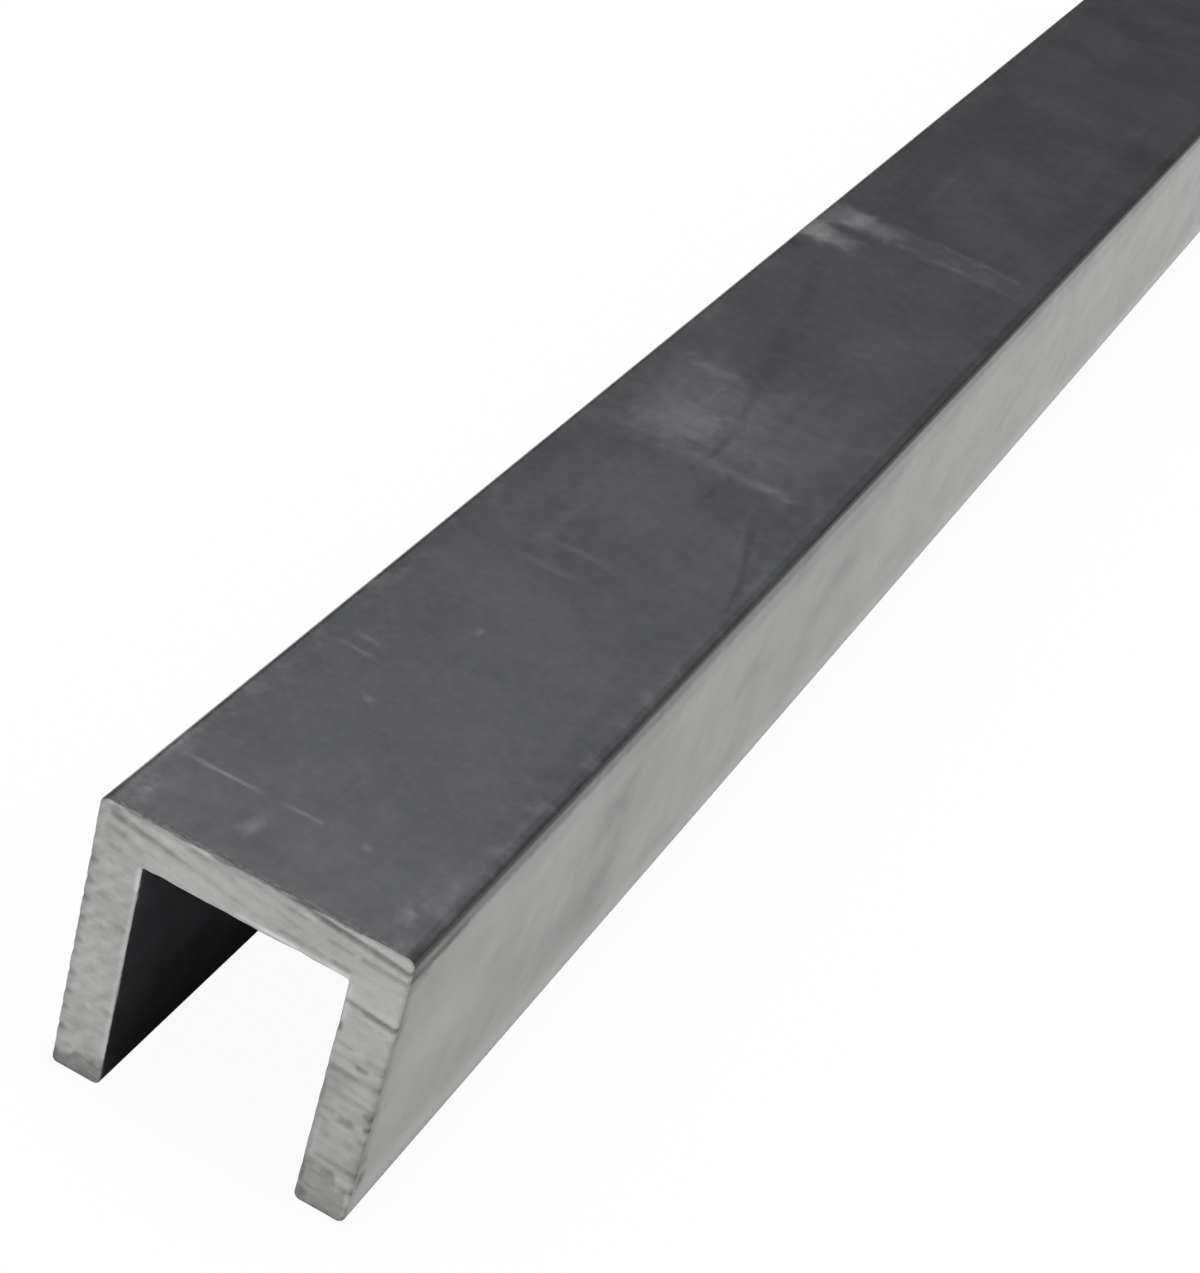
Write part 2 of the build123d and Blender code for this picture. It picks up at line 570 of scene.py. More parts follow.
def make_channel():
    """One closed shell: the section's outline carried along the length, and two sawn ends.

    Each face along it joins two neighbouring points of one ring with those of the next.
    """
    section, shell = Section(), Shell()
    outline, count = section.outline, len(section.loop)
    front_marks = front_strokes, front_burrs, front_bites, front_nicks
    rings = put_end(shell, section, 1, front_marks, front_seed)
    middle = half_length - first_middle_ring
    middle = np.linspace(-middle, middle, middle_rings)
    for y in np.r_[near_rings - half_length, middle, half_length - near_rings[::-1]]:
        xyz = np.stack([outline[:, 0], np.full(count, y), outline[:, 1]], 1)
        rings.append(shell.put(xyz) + np.arange(count))
    rings += put_end(shell, section, -1, random_marks(back_strokes_seed), back_seed)
    for n, (here, there) in enumerate(zip(rings[:-1], rings[1:])):
        rounded = min(n, len(rings) - 2 - n) < len(rounding)
        faces = np.stack([here, np.roll(here, -1), np.roll(there, -1), there], 1)
        shell.cover(faces, SAWN if rounded else section.finishes())
    return shell.piece("mill_finish_channel")


def add(tree, kind, settings=None, **values):
    """A node of that kind: settings are its own options, values go to its inputs.

    An input is given by its name with underscores for spaces, or as i0, i1 by its place.
    """
    made = tree.nodes.new(kind)
    for name, value in (settings or {}).items():
        setattr(made, name, value)
    for name, value in values.items():
        by_place = name[0] == "i" and name[1:].isdigit()
        socket = made.inputs[int(name[1:])] if by_place else made.inputs[name.replace("_", " ")]
        if isinstance(value, bpy.types.NodeSocket):
            tree.links.new(value, socket)
        else:
            socket.default_value = value
    return made


def calc(tree, operation, first, second=0.0, third=0.0, clamp=False):
    """The result of one Math node."""
    options = {"operation": operation, "use_clamp": clamp}
    return add(tree, "ShaderNodeMath", options, i0=first, i1=second, i2=third).outputs[0]


def vector(tree, operation, first, second):
    """The result of one Vector Math node."""
    return add(tree, "ShaderNodeVectorMath", {"operation": operation}, i0=first, i1=second).outputs[0]


def split(tree, position):
    """The three coordinates of a position."""
    return add(tree, "ShaderNodeSeparateXYZ", i0=position).outputs


def join(tree, x, y, z):
    """A position from its three coordinates."""
    return add(tree, "ShaderNodeCombineXYZ", X=x, Y=y, Z=z).outputs[0]


def noise(tree, position, scale, detail, roughness=0.5):
    """The value of one Noise Texture node."""
    return add(tree, "ShaderNodeTexNoise", Vector=position, Scale=scale, Detail=detail,
               Roughness=roughness).outputs[0]


def ramp(tree, value, low, high, start=0.0, stop=1.0):
    """start below low, stop above high and a smooth change between them."""
    options = {"interpolation_type": "SMOOTHSTEP"}
    return add(tree, "ShaderNodeMapRange", options, Value=value, From_Min=low, From_Max=high,
               To_Min=start, To_Max=stop).outputs[0]


def total(tree, parts):
    """The sum of amount * mask over (amount, mask) pairs."""
    result = 0.0
    for amount, mask in parts:
        result = calc(tree, "MULTIPLY_ADD", mask, amount, result)
    return result


def new_group(name, takes, gives):
    """An empty node group, its inputs by name and the socket that its output reads."""
    group = bpy.data.node_groups.new(name, "ShaderNodeTree")
    for label, kind in takes.items():
        group.interface.new_socket(label, in_out="INPUT", socket_type=f"NodeSocket{kind}")
    group.interface.new_socket(gives, in_out="OUTPUT", socket_type="NodeSocketFloat")
    sockets = group.nodes.new("NodeGroupInput").outputs
    return group, [sockets[label] for label in takes], group.nodes.new("NodeGroupOutput").inputs[0]


def make_drawn_grain():
    """Streaks that the die leaves: noise squeezed to pitch across the section and run along it."""
    takes = {"Position": "Vector", "Pitch": "Float", "Run": "Float"}
    group, (position, pitch, run), result = new_group("drawn grain", takes, "Value")
    across, along = (calc(group, "DIVIDE", 1.0, size) for size in (pitch, run))
    place = vector(group, "MULTIPLY", position, join(group, across, along, across))
    group.links.new(noise(group, place, 1.0, 3.0, 0.6), result)
    return group


def make_blotches():
    """Soft blotches of a size: noise, cut to a mask between its values low and high."""
    takes = {"Position": "Vector", "Size": "Float", "Low": "Float", "High": "Float"}
    group, (position, size, low, high), result = new_group("blotches", takes, "Mask")
    value = noise(group, position, calc(group, "DIVIDE", 1.0, size), 4.0, 0.55)
    group.links.new(ramp(group, value, low, high), result)
    return group


def make_rub_mark():
    """One scratch or rubbed place on a face: a box round its centre, turned, with soft sides.

    The larger of |x| / half across and |y| / half along, plus an uneven amount,
    is 1 on its sides. Gaps, a mask of their own, break it up by as much as Broken says.
    """
    takes = {"Position": "Vector", "Uneven": "Float", "Gaps": "Float", "Centre": "Vector",
             "Turn": "Float", "Half Across": "Float", "Half Along": "Float",
             "Softness": "Float", "Broken": "Float"}
    group, sockets, result = new_group("rub mark", takes, "Mask")
    position, uneven, gaps, centre, turn, half_across, half_along, softness, broken = sockets
    offset = vector(group, "SUBTRACT", position, centre)
    turned = add(group, "ShaderNodeVectorRotate", {"rotation_type": "Z_AXIS", "invert": True},
                 Vector=offset, Angle=turn).outputs[0]
    shares = vector(group, "DIVIDE", turned, join(group, half_across, half_along, 1.0))
    x, y, _ = split(group, vector(group, "ABSOLUTE", shares, (0, 0, 0)))
    away = calc(group, "MULTIPLY_ADD", uneven, softness, calc(group, "MAXIMUM", x, y))
    patch = ramp(group, away, 1.0, calc(group, "SUBTRACT", 1.0, softness))
    kept = calc(group, "SUBTRACT", 1.0, calc(group, "MULTIPLY", gaps, broken))
    group.links.new(calc(group, "MULTIPLY", patch, kept), result)
    return group


def make_corner_line():
    """A line along the right shoulder, at a distance round the corner from its middle.

    The distance from the arc's middle is (x - half width) + (height - z), negative on the
    web's side. Near the front end the line lies a little further down the flange, and one
    stretch of it is fainter by as much as Faded says.
    """
    takes = {"Position": "Vector", "Place": "Float", "Half Width": "Float", "Faded": "Float"}
    group, (position, place, half_wide, faded), result = new_group("corner line", takes, "Mask")
    x, y, z = split(group, position)
    around = calc(group, "ADD", calc(group, "SUBTRACT", x, half_width), calc(group, "SUBTRACT", height, z))
    along = calc(group, "ADD", y, half_length)
    middle = calc(group, "ADD", place, ramp(group, along, 30.0, 75.0, 0.2, 0.02))
    away = calc(group, "ABSOLUTE", calc(group, "SUBTRACT", around, middle))
    line = ramp(group, calc(group, "DIVIDE", away, half_wide), 1.0, 0.3)
    line = calc(group, "MULTIPLY", line, calc(group, "GREATER_THAN", x, 0.0))
    stretch = calc(group, "MULTIPLY", ramp(group, along, 24.0, 36.0), ramp(group, along, 64.0, 50.0))
    kept = calc(group, "SUBTRACT", 1.0, calc(group, "MULTIPLY", stretch, faded))
    group.links.new(calc(group, "MULTIPLY", line, kept), result)
    return group


# The effects that the finishes share, each built once
drawn_grain = make_drawn_grain()
blotches = make_blotches()
rub_mark = make_rub_mark()
corner_line = make_corner_line()

# A dull dark coat for painted shade and dirt, and the reflection that stays on it
shade_and_dirt_colour = (0.078, 0.074, 0.066)
shade_and_dirt_gloss = 0.03

# How much of the uneven sides is left on a mark that isn't broken up
calm_share = 0.45


class Finish:
    """One metal finish: a material, a position in mm and the groups that mark its surface."""

    def __init__(self, name):
        self.material = bpy.data.materials.new(name)
        self.material.use_nodes = True
        self.tree = self.material.node_tree
        self.shader = self.tree.nodes["Principled BSDF"]
        place = add(self.tree, "ShaderNodeTexCoord").outputs["Object"]
        self.position = add(self.tree, "ShaderNodeVectorMath", {"operation": "SCALE"}, i0=place,
                            Scale=1 / MM).outputs[0]

    def use(self, group, **values):
        """The result of one of the shared groups."""
        return add(self.tree, "ShaderNodeGroup", {"node_tree": group}, **values).outputs[0]

    def grain(self, pitch, run):
        """The die's streaks, with a pitch across the section and a run along it in mm."""
        return self.use(drawn_grain, Position=self.position, Pitch=pitch, Run=run)

    def blots(self, size, low, high, position=None):
        """Soft blotches of a size in mm, where the noise goes from low to high."""
        return self.use(blotches, Position=self.position if position is None else position,
                        Size=size, Low=low, High=high)

    def line(self, place, half_wide, faded=0.0):
        """A line along the right shoulder, with its place and half its width in mm."""
        return self.use(corner_line, Position=self.position, Place=place, Half_Width=half_wide,
                        Faded=faded)

    def rubs(self, position, marks):
        """The sum of amount * mark over rows as in web_marks. Unbroken ones have calmer sides."""
        value = noise(self.tree, position, 0.9, 1.5)
        uneven = calc(self.tree, "MULTIPLY_ADD", value, 1.2, -0.6)
        calm = calc(self.tree, "MULTIPLY", uneven, calm_share)
        gaps = self.blots(1.1, 0.62, 0.38, position)
        lighter = 0.0
        for x, y, turn, half_across, half_along, soft, broken, amount in marks:
            mark = self.use(rub_mark, Position=position, Uneven=uneven if broken else calm,
                            Gaps=gaps, Centre=(x, y, 0), Turn=math.radians(turn),
                            Half_Across=half_across, Half_Along=half_along,
                            Softness=soft, Broken=broken)
            lighter = calc(self.tree, "MULTIPLY_ADD", mark, amount, lighter)
        return lighter

    def attribute(self, name):
        """A mask that the mesh carries at its points."""
        return add(self.tree, "ShaderNodeAttribute", {"attribute_name": name}).outputs["Fac"]

    def sum(self, parts, base):
        """base plus the sum of amount * mask over pairs, kept between 0 and 1."""
        return calc(self.tree, "ADD", total(self.tree, parts), base, clamp=True)

    def blend(self, mask, first, second):
        """A colour between two others, each given by its numbers or by a socket."""
        mix = add(self.tree, "ShaderNodeMix", {"data_type": "RGBA"}, i0=mask)
        for socket, colour in ((mix.inputs[6], first), (mix.inputs[7], second)):
            if isinstance(colour, tuple):
                socket.default_value = (*colour, 1)
            else:
                self.tree.links.new(colour, socket)
        return mix.outputs[2]

    def paint_shade_and_grime(self, mask, colour):
        """The colour under a dull dark coat of painted shade and dirt, which hides the metal where the
        mask is 1.
        """
        self.tree.links.new(calc(self.tree, "SUBTRACT", 1.0, mask), self.shader.inputs["Metallic"])
        self.shader.inputs["Specular IOR Level"].default_value = shade_and_dirt_gloss
        return self.blend(ramp(self.tree, mask, 0.0, 0.3), colour, shade_and_dirt_colour)

    def coat(self, colour, roughness, relief, edge, strength, distance):
        """Colour, roughness and relief, all changing over the surface.

        Edge is how much of the metal's own reflection stays at a grazing view. Strength and
        distance, in mm, say how high the relief stands.
        """
        self.tree.links.new(colour, self.shader.inputs["Base Color"])
        self.tree.links.new(roughness, self.shader.inputs["Roughness"])
        self.shader.inputs["Metallic"].default_value = 1.0
        self.shader.inputs["Specular Tint"].default_value = (edge, edge, edge, 1)
        raised = add(self.tree, "ShaderNodeBump", Strength=strength, Distance=distance * MM,
                     Height=relief)
        self.tree.links.new(raised.outputs[0], self.shader.inputs["Normal"])
        return self.material


# Marks on the web, as x, distance from the front end, turn, half size across and along,
# softness, how broken up and how much lighter (or darker, if negative)
# The long darker rows near either edge, x about 8 or -8, are painted shade, the web darker beside its
# shoulders.
web_marks = [
    (-5.7, 6.05, 0.6, 2.9, 0.23, 0.7, 0.3, 0.34),
    (-0.8, 6.15, 0.6, 1.5, 0.22, 0.8, 0.3, 0.27),
    (3.1, 6.1, 0, 0.4, 0.35, 1.0, 0.0, 0.24),
    (-8.2, 2.0, 0, 1.4, 2.2, 1.0, 1.0, 0.30),
    (-9.0, 6.0, 0, 0.5, 4.0, 1.0, 0.8, 0.25),
    (-2.3, 3.5, 70, 1.6, 0.75, 1.0, 0.2, 0.3),
    (7.5, 3.4, 0, 0.8, 2.6, 1.0, 1.0, 0.34),
    (8.3, 6.4, 4, 0.6, 3.2, 1.0, 1.0, 0.13),
    (-6.3, 21.1, -2, 1.9, 0.35, 1.0, 0.3, 0.22),
    (-6.2, 22.5, -2, 1.4, 0.45, 1.0, 0.3, 0.23),
    (-3.4, 17.4, 0, 0.5, 0.5, 1.0, 0.0, 0.2),
    (-1.9, 27.9, 0, 0.4, 0.7, 1.0, 0.0, 0.2),
    (-9.2, 27.5, 0, 0.4, 1.0, 1.0, 0.0, 0.16),
    (-1.8, 37.4, 0, 2.6, 0.5, 1.0, 0.3, 0.12),
    (-1.6, 40.4, 0, 3.4, 0.5, 1.0, 0.3, 0.12),
    (-3.9, 43.0, 0, 0.6, 7.0, 1.0, 0.2, 0.08),
    (-6.5, 45.0, 0, 2.2, 3.0, 1.0, 0.2, 0.05),
    (6.9, 48.2, 17, 0.4, 6.2, 0.9, 0.2, -0.13),
    (7.6, 49.0, 12, 0.6, 4.5, 1.0, 0.2, -0.09),
    (8.1, 43.5, 10, 0.25, 3.2, 0.9, 0.0, -0.10),
    (5.6, 50.5, 14, 0.3, 5.0, 1.0, 0.2, 0.05),
    (1.9, 53.5, 0, 0.4, 3.0, 1.0, 0.2, -0.08),
    (-3.4, 63.0, 0, 6.0, 8.2, 0.7, 0.0, 0.13),
    (3.5, 63.0, 0, 6.5, 8.0, 1.0, 0.0, 0.04),
    (3.2, 60.5, 0, 5.0, 7.0, 1.0, 0.0, 0.11),
    (-4.2, 58.0, 0, 3.0, 3.0, 1.0, 0.0, 0.06),
    (-5.0, 69.5, 0, 3.5, 3.0, 1.0, 0.0, 0.05),
    (8.2, 20.0, 0, 2.2, 13.0, 1.0, 0.0, -0.08),
    (-8.6, 30.0, 0, 2.0, 26.0, 1.0, 0.0, -0.07),
    (-8.9, 31.0, 0, 0.9, 4.0, 1.0, 0.0, -0.05),
    (8.0, 132.0, 0, 3.5, 18.0, 1.0, 0.0, -0.06),
    (8.0, 80.0, 0, 2.6, 16.0, 1.0, 0.0, -0.055),
    (-8.4, 51.0, 0, 1.6, 6.0, 1.0, 0.0, -0.07),
    (-7.0, 16.0, 0, 1.0, 5.5, 1.0, 0.2, -0.05),
    (8.9, 3.5, 0, 0.6, 5.0, 1.0, 0.2, -0.10),
    (-3.8, 60.6, 0, 3.8, 5.0, 1.0, 0.0, 0.09),
    (-2.6, 61.0, 0, 2.4, 3.6, 1.0, 0.1, 0.08),
    (0.8, 57.1, 2, 6.8, 1.1, 0.9, 0.2, 0.12),
    (-1.0, 58.7, 0, 2.4, 0.4, 0.9, 0.1, -0.10),
    (-3.4, 66.3, 0, 0.3, 2.4, 1.0, 0.1, 0.08),
    (-4.8, 69.2, 0, 3.4, 1.1, 0.9, 0.2, 0.16),
    (5.0, 57.2, 4, 2.3, 0.8, 0.9, 0.2, 0.15),
    (1.6, 60.6, 0, 2.8, 1.7, 1.0, 0.3, 0.10),
    (8.2, 57.8, 0, 1.3, 2.8, 1.0, 0.2, 0.08),
    (-0.1, 59.8, 2, 0.5, 3.8, 1.0, 0.0, -0.12),
    (-1.0, 66.4, 11, 0.6, 5.2, 1.0, 0.0, -0.12),
    (-2.5, 75.0, 8, 1.5, 8.4, 1.0, 0.0, -0.075),
    (-4.8, 87.0, 13, 1.1, 7.5, 1.0, 0.0, -0.09),
    (4.0, 80.0, 0, 5.2, 14.0, 1.0, 0.1, 0.06),
    (-8.7, 93.0, 0, 1.1, 1.5, 1.0, 0.0, -0.14),
    (-8.9, 96.6, 0, 2.2, 2.5, 0.75, 0.0, 0.23),
    (-7.0, 96.8, 0, 3.2, 2.2, 0.9, 0.0, 0.34),
    (-8.6, 99.0, 0, 1.4, 1.4, 1.0, 0.0, 0.25),
    (-7.8, 101.5, 0, 2.7, 2.7, 0.7, 0.0, 0.22),
    (-5.3, 101.6, 0, 3.4, 2.4, 0.8, 0.0, 0.31),
    (2.0, 101.7, 0, 7.4, 2.3, 0.7, 0.2, 0.11),
    (2.4, 100.2, 0, 6.0, 0.7, 0.9, 0.3, 0.08),
    (2.4, 103.4, 0, 6.0, 0.7, 0.9, 0.3, 0.11),
    (-3.8, 113.6, 1, 0.5, 6.5, 1.0, 0.4, 0.08),
]

# Smudges on the flanges, as distance from the front end, z and then as above
# The darker rows within 3 mm of the front end, and the long ones high up under the shoulder, are painted
# shade.
flange_marks = [
    (27.5, 12.6, 10, 3.8, 2.6, 1.0, 0.0, -0.24),
    (24.5, 5.2, 0, 8.0, 3.8, 1.0, 0.0, -0.18),
    (28.4, 8.0, 0, 2.4, 6.8, 1.0, 0.0, -0.11),
    (38.0, 15.0, 0, 9.0, 2.6, 1.0, 0.0, 0.08),
    (8.0, 10.0, 0, 7.5, 4.0, 1.0, 0.0, 0.09),
    (48.0, 11.0, 20, 4.2, 2.4, 1.0, 0.0, -0.16),
    (64.0, 11.2, 0, 4.6, 3.2, 1.0, 0.0, -0.15),
    (78.0, 5.0, 0, 3.8, 2.8, 1.0, 0.0, -0.09),
    (40.0, 2.5, 0, 4.0, 1.0, 1.0, 0.2, -0.03),
    (18.0, 15.0, 12, 5.0, 0.8, 1.0, 0.4, 0.10),
    (5.0, 3.0, -20, 3.0, 0.5, 1.0, 0.3, -0.06),
    (6.5, 2.2, 0, 4.5, 1.4, 1.0, 0.0, 0.14),
    (1.6, 17.1, 0, 1.8, 1.0, 1.0, 0.0, -0.25),
    (88.0, 17.3, 0, 80.0, 1.9, 0.5, 0.0, -0.13),
    (62.0, 16.2, 0, 24.0, 2.6, 1.0, 0.0, -0.07),
    (0.9, 2.8, 0, 0.6, 0.8, 1.0, 0.0, -0.5),
    (0.7, 4.4, 0, 0.5, 0.5, 1.0, 0.0, -0.2),
    (0.5, 8.0, 0, 0.5, 0.6, 1.0, 0.0, -0.15),
    (0.6, 14.0, 0, 0.6, 0.7, 1.0, 0.0, -0.15),
    (2.5, 17.55, -1, 5.0, 0.55, 0.9, 0.1, -0.34),
    (12.0, 18.1, 0, 22.0, 0.9, 1.0, 0.1, -0.24),
    (45.0, 18.3, 0, 22.0, 0.8, 1.0, 0.1, -0.10),
    (64.0, 9.0, 0, 26.0, 9.0, 1.0, 0.0, -0.05),
    (110.0, 9.0, 5, 9.0, 2.5, 1.0, 0.3, -0.07),
    (150.0, 6.0, 0, 12.0, 3.0, 1.0, 0.3, -0.08),
]

# The left flange shows the smudges this much further along
left_shift = 37.0

# Tone above which a mark on the web turns rougher rather than whiter
bright_tone = 0.4


def web_finish():
    """Upper face of the web: dull, faintly streaked, with handling marks, one stop mark, and painted shade
    beside its shoulders and at the sawn edge.
    """
    finish = Finish("web, mill finish")
    tree, position = finish.tree, finish.position
    from_end = vector(tree, "ADD", position, (0, half_length, -height))
    grain, fine = finish.grain(0.5, 60.0), finish.grain(0.14, 9.0)
    broad, mottle = finish.blots(9.0, 0.3, 0.7), finish.blots(1.3, 0.3, 0.72)
    speckle = finish.blots(0.45, 0.35, 0.7)
    beside = calc(tree, "ABSOLUTE", split(tree, position)["X"])
    to_end = split(tree, from_end)["Y"]

    # worn bright along both edges, most of all near the front end
    worn = ramp(tree, beside, half_width - 2.0, half_width - 0.9)
    worn = calc(tree, "MULTIPLY", worn, ramp(tree, to_end, 60.0, 20.0, 0.3, 1.0))
    worn = calc(tree, "MULTIPLY", worn, finish.blots(1.8, 0.48, 0.66))

    # painted shade in a line along the right shoulder and in a fringe at the sawn edge, and darker at its
    # corners
    line = calc(tree, "MULTIPLY", finish.line(0.14, 0.42, 0.75), 0.8)
    fringe_shade = calc(tree, "MULTIPLY", ramp(tree, to_end, 0.9, 0.2), ramp(tree, speckle, 0.0, 0.6))
    corner = calc(tree, "MULTIPLY", ramp(tree, beside, half_width - 1.1, half_width - 0.3),
                  ramp(tree, to_end, 3.2, 0.8, 0.0, 0.2))
    shade_and_dirt = calc(tree, "MAXIMUM", line, calc(tree, "MULTIPLY", fringe_shade, 0.16))
    shade_and_dirt = calc(tree, "MAXIMUM", shade_and_dirt, corner)

    marks = finish.rubs(from_end, web_marks)
    # The line at -0.5 is painted shade, the web darker beside its right shoulder.
    tone = total(tree, [(0.06, grain), (0.05, fine), (0.05, broad), (0.09, mottle), (0.06, speckle),
                        (0.11, worn), (-0.18, finish.line(-0.5, 0.5)), (1.0, marks)])
    tone = calc(tree, "ADD", tone, ramp(tree, to_end, 0.0, 50.0, 0.18, 0.195), clamp=True)
    bright = calc(tree, "MAXIMUM", calc(tree, "SUBTRACT", tone, bright_tone), 0.0)
    tone = calc(tree, "SUBTRACT", tone, calc(tree, "MULTIPLY", bright, 0.75))
    rough = finish.sum([(0.03, grain), (0.03, broad), (0.16, marks), (0.04, worn), (0.285, bright)], 0.27)
    relief = total(tree, [(0.6, fine), (0.3, grain)])

    # the metal is bluer in front and more violet in patches and further back
    patches, further = finish.blots(6.0, 0.38, 0.62), ramp(tree, to_end, 40.0, 110.0)
    violet = total(tree, [(0.55, patches), (0.45, further)])
    blue_grey, violet_grey, rubbed_bright = (0.257, 0.271, 0.291), (0.266, 0.263, 0.3), (0.88, 0.88, 0.85)
    colour = finish.blend(tone, finish.blend(violet, blue_grey, violet_grey), rubbed_bright)
    colour = finish.paint_shade_and_grime(shade_and_dirt, colour)
    return finish.coat(colour, rough, relief, edge=0.75, strength=0.15, distance=0.02)


def flange_finish():
    """Outer faces of the flanges: the same metal, smoother and paler, with soft smudges, painted shade and
    painted light.
    """
    finish = Finish("flange, mill finish")
    tree, position = finish.tree, finish.position
    x, y, z = split(tree, position)
    along = calc(tree, "ADD", y, half_length)
    along = calc(tree, "MULTIPLY_ADD", calc(tree, "LESS_THAN", x, 0.0), left_shift, along)
    grain, fine = finish.grain(0.8, 70.0), finish.grain(0.18, 14.0)
    broad, mottle = finish.blots(9.0, 0.35, 0.65), finish.blots(2.2, 0.35, 0.7)
    marks = finish.rubs(join(tree, along, z, 0.0), flange_marks)
    to_end = calc(tree, "SUBTRACT", half_length, calc(tree, "ABSOLUTE", y))
    # Painted shade: darker within 1.3 mm of a sawn end. Painted light: lighter over the lowest 3 mm.
    shaded_sawn_side = ramp(tree, to_end, 1.3, 0.2)
    lightened_bottom = ramp(tree, z, 2.9, 0.3)
    # The line at 0.7 is painted shade, a darker band under the shoulder.
    tone = total(tree, [(0.10, grain), (0.05, fine), (-0.06, broad), (-0.05, mottle),
                        (-0.3, finish.line(0.7, 1.15)), (-0.13, shaded_sawn_side), (0.45, lightened_bottom), (1.0, marks)])
    # Painted light: the flange lighter further from the front end.
    tone = calc(tree, "ADD", tone, ramp(tree, along, 10.0, 130.0, 0.44, 0.56), clamp=True)
    rough = finish.sum([(0.06, grain), (0.03, broad), (0.02, mottle), (0.1, shaded_sawn_side)], 0.26)
    relief = total(tree, [(0.6, fine), (0.4, grain)])
    dark, pale = (0.13, 0.13, 0.127), (0.56, 0.557, 0.543)
    colour = finish.blend(tone, dark, pale)

    # painted shade in the line along the shoulder, with a second, short line under it at the front end
    line = calc(tree, "MULTIPLY", finish.line(0.08, 0.48, 0.7), 0.85)
    second = calc(tree, "MULTIPLY", finish.line(1.25, 0.4), ramp(tree, along, 8.0, 5.0, 0.0, 0.25))
    shade_and_dirt = calc(tree, "MAXIMUM", line, second)
    colour = finish.paint_shade_and_grime(shade_and_dirt, colour)
    return finish.coat(colour, rough, relief, edge=0.78, strength=0.15, distance=0.02)


def slot_finish():
    """Inside of the slot: darker with painted shade, and more so toward the toes and the ends."""
    finish = Finish("slot, mill finish, painted shade")
    tree = finish.tree
    grain, broad = finish.grain(0.5, 60.0), finish.blots(7.0, 0.35, 0.65)
    _, y, z = split(tree, finish.position)
    to_end = calc(tree, "SUBTRACT", half_length, calc(tree, "ABSOLUTE", y))
    # Painted shade: the slot darker than its metal is, more so toward the toes and within 12 mm of the
    # ends.
    tone = total(tree, [(0.14, grain), (0.10, broad), (0.62, ramp(tree, z, 1.0, 14.0))])
    tone = calc(tree, "MULTIPLY", tone, ramp(tree, to_end, 0.0, 12.0, 0.5, 1.0))
    rough = finish.sum([(0.08, grain), (0.06, broad)], 0.4)
    dark, pale = (0.07, 0.066, 0.076), (0.9, 0.87, 0.94)
    colour = finish.blend(tone, dark, pale)
    return finish.coat(colour, rough, grain, edge=0.9, strength=0.2, distance=0.02)


def sawn_finish():
    """Sawn ends: bright coarse strokes with dark grooves partly of painted shade, polished burrs
    brightened partly as a painted highlight, and toes darker toward the bottom.

    The strokes' pattern reads a position whose height is z - (x - side)^2 / (2 * radius).
    """
    finish = Finish("sawn end")
    tree = finish.tree
    x, y, z = split(tree, finish.position)
    groove_shade, burr_highlight, shade_and_dirt = (finish.attribute(name) for name in ("groove_shade", "burr_highlight", "shade_and_dirt"))
    aside = calc(tree, "SUBTRACT", x, blade_side)
    rise = calc(tree, "DIVIDE", calc(tree, "MULTIPLY", aside, aside), 2 * blade_radius)
    place = join(tree, calc(tree, "MULTIPLY", x, 0.2), y, calc(tree, "SUBTRACT", z, rise))
    strokes, fine = finish.blots(0.32, 0.3, 0.7, place), finish.blots(0.11, 0.3, 0.7, place)
    mottle = finish.blots(0.6, 0.3, 0.7)
    tone = finish.sum([(-0.62, groove_shade), (0.45, burr_highlight), (0.09, strokes), (0.05, fine),
                       (0.10, mottle), (-0.26, shade_and_dirt)], 0.51)
    rough = finish.sum([(0.15, groove_shade), (-0.08, burr_highlight), (0.06, strokes), (0.08, mottle)], 0.38)
    relief = total(tree, [(0.6, strokes), (0.3, fine)])
    dark, pale = (0.12, 0.12, 0.115), (0.70, 0.70, 0.685)
    colour = finish.blend(tone, dark, pale)
    return finish.coat(colour, rough, relief, edge=0.9, strength=0.35, distance=0.03)


# The photograph's viewpoint: in front of the sawn end, above it and to its right
camera_place = (0.045768, -0.256716, 0.113679)
camera_turn = (55.4826, -13.9555, 26.4291)
camera_lens = 81.398


def make_camera():
    """The camera at the photograph's viewpoint, turned by angles in degrees."""
    data = bpy.data.cameras.new("view")
    data.lens = camera_lens
    data.clip_start = 0.01
    camera = bpy.data.objects.new("view", data)
    bpy.context.scene.collection.objects.link(camera)
    camera.location = camera_place
    camera.rotation_euler = [math.radians(angle) for angle in camera_turn]
    bpy.context.scene.camera = camera


# Half the floor's width, in metres as all distances on it are
floor_reach = 15.0


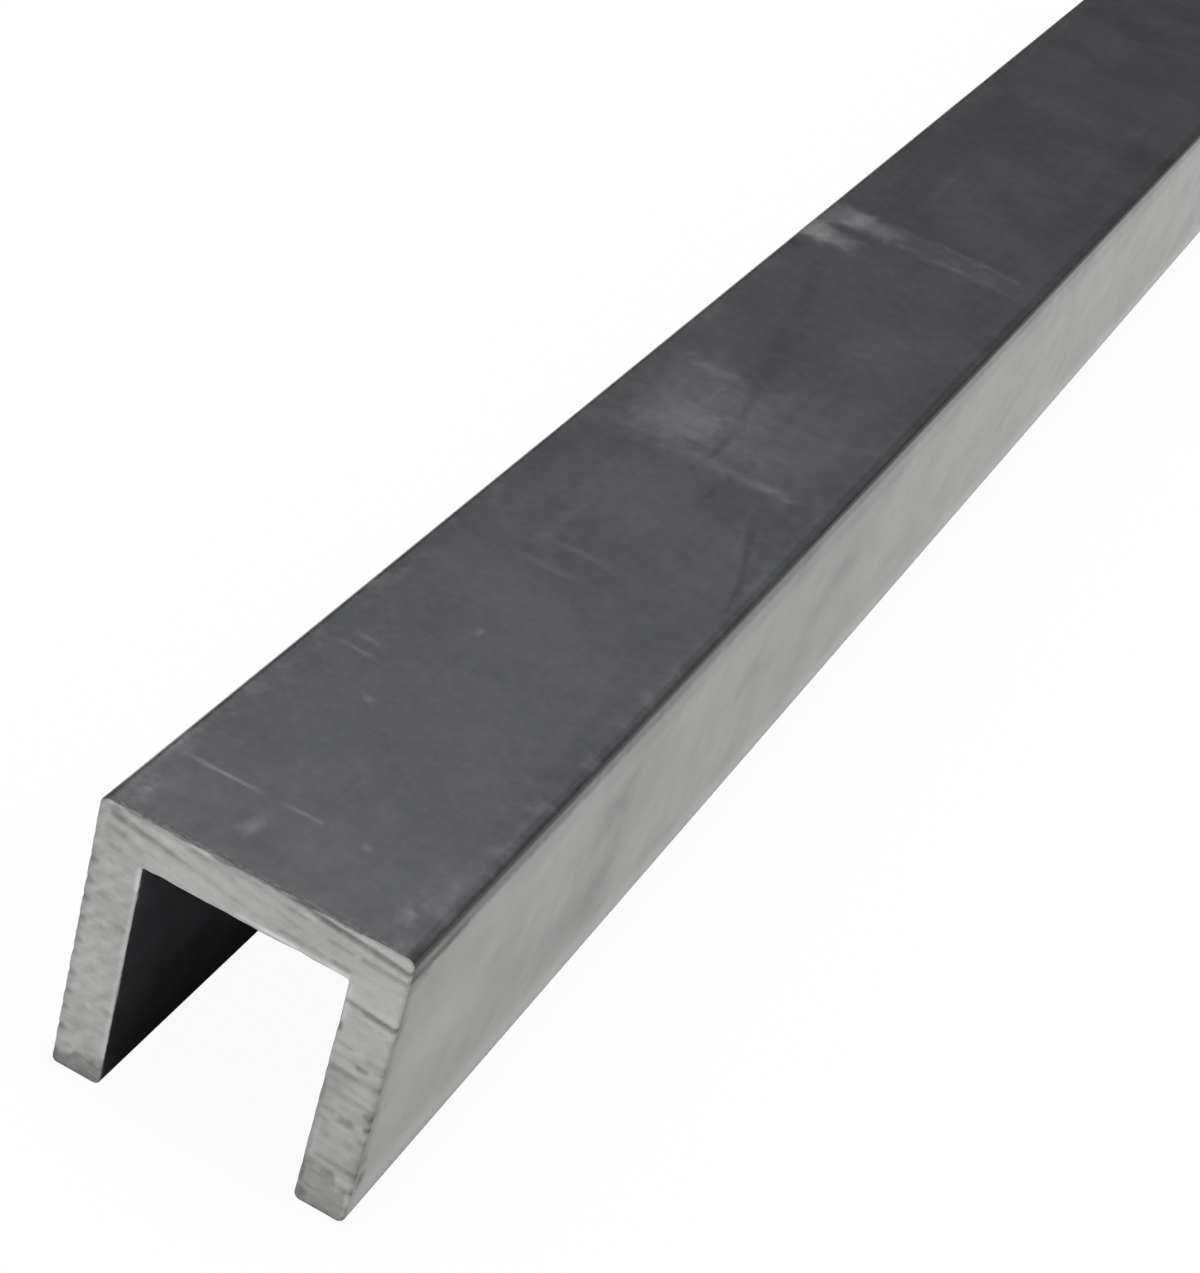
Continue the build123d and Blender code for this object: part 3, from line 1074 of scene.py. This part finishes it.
def make_floor():
    """A pale floor, all but white to the camera and in reflections, that keeps the part's shadow.

    The camera sees 5 percent of its shade close to the part and 2 percent away from it.
    Reflections see it 85 percent white beside the part and not under it, apart from a
    trace deep in the slot. Its own colour is darker under the part, most of all at the ends, as a painted
    shadow.
    """
    r = floor_reach
    mesh = bpy.data.meshes.new("floor")
    mesh.from_pydata([(-r, -r, 0), (r, -r, 0), (r, r, 0), (-r, r, 0)], [], [(0, 1, 2, 3)])
    floor = bpy.data.objects.new("floor", mesh)
    bpy.context.scene.collection.objects.link(floor)
    material = bpy.data.materials.new("pale floor")
    material.use_nodes = True
    tree = material.node_tree
    tree.nodes.clear()

    # distances in metres: beyond the ends, and away from the part's outline on the floor
    x, y, _ = split(tree, add(tree, "ShaderNodeTexCoord").outputs["Object"])
    beside = calc(tree, "SUBTRACT", calc(tree, "ABSOLUTE", x), half_width * MM)
    beyond = calc(tree, "SUBTRACT", calc(tree, "ABSOLUTE", y), half_length * MM)
    away = calc(tree, "MAXIMUM", beside, beyond)

    rays = add(tree, "ShaderNodeLightPath").outputs
    clear = ramp(tree, away, 0.0, 0.014, 0.95, 0.98)
    seen = calc(tree, "MULTIPLY", rays["Is Camera Ray"], clear)
    outside, deep = ramp(tree, away, -0.0003, 0.0008), ramp(tree, beyond, 0.0, -0.02, 0.0, 0.014)
    mirrored = calc(tree, "MAXIMUM", rays["Is Glossy Ray"], rays["Is Transmission Ray"])
    mirrored = calc(tree, "MULTIPLY", mirrored, calc(tree, "MULTIPLY_ADD", outside, 0.85, deep))
    # Painted shadow: the floor's own colour darker under the part, most of all near the ends.
    tone = ramp(tree, away, -0.002, 0.002, ramp(tree, beyond, -0.005, -0.03, 0.1, 0.6), 0.95)
    paper = add(tree, "ShaderNodeBsdfDiffuse", Color=tone).outputs[0]
    white = add(tree, "ShaderNodeEmission", Color=(1, 1, 1, 1), Strength=1.0).outputs[0]
    share = calc(tree, "MAXIMUM", mirrored, seen)
    shade = add(tree, "ShaderNodeMixShader", i0=share, i1=paper, i2=white)
    add(tree, "ShaderNodeOutputMaterial", Surface=shade.outputs[0])
    mesh.materials.append(material)


# Soft lamps: name, the direction that each shines from, strength and spread in degrees
lamps = [
    ("overhead lamp", (-0.25, -0.3, 0.92), 2.0, 86),
    ("right lamp", (0.7, -0.12, 0.7), 1.0, 44),
]

# The room's colour, and its brightness low down and overhead
room_colour = (0.98, 0.98, 1.04)
room_low = 0.035
room_overhead = 0.27


def make_light():
    """A dim room that is lighter overhead, and the soft lamps."""
    world = bpy.data.worlds.new("studio")
    bpy.context.scene.world = world
    world.use_nodes = True
    tree = world.node_tree
    up = split(tree, add(tree, "ShaderNodeTexCoord").outputs["Generated"])["Z"]
    tone = ramp(tree, up, 0.15, 0.9, room_low, room_overhead)
    sky = add(tree, "ShaderNodeVectorMath", {"operation": "SCALE"}, i0=room_colour, Scale=tone)
    tree.links.new(sky.outputs[0], tree.nodes["Background"].inputs["Color"])
    for name, toward, strength, spread in lamps:
        data = bpy.data.lights.new(name, "SUN")
        data.energy = strength
        data.angle = math.radians(spread)
        lamp = bpy.data.objects.new(name, data)
        bpy.context.scene.collection.objects.link(lamp)
        lamp.rotation_euler = Vector(toward).to_track_quat("Z", "Y").to_euler()


make_camera()
channel = make_channel()
for finish in (web_finish(), flange_finish(), slot_finish(), sawn_finish()):
    channel.data.materials.append(finish)
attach(channel, "root")
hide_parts("channel_section")
make_floor()
make_light()
bpy.context.scene.view_settings.view_transform = "Standard"
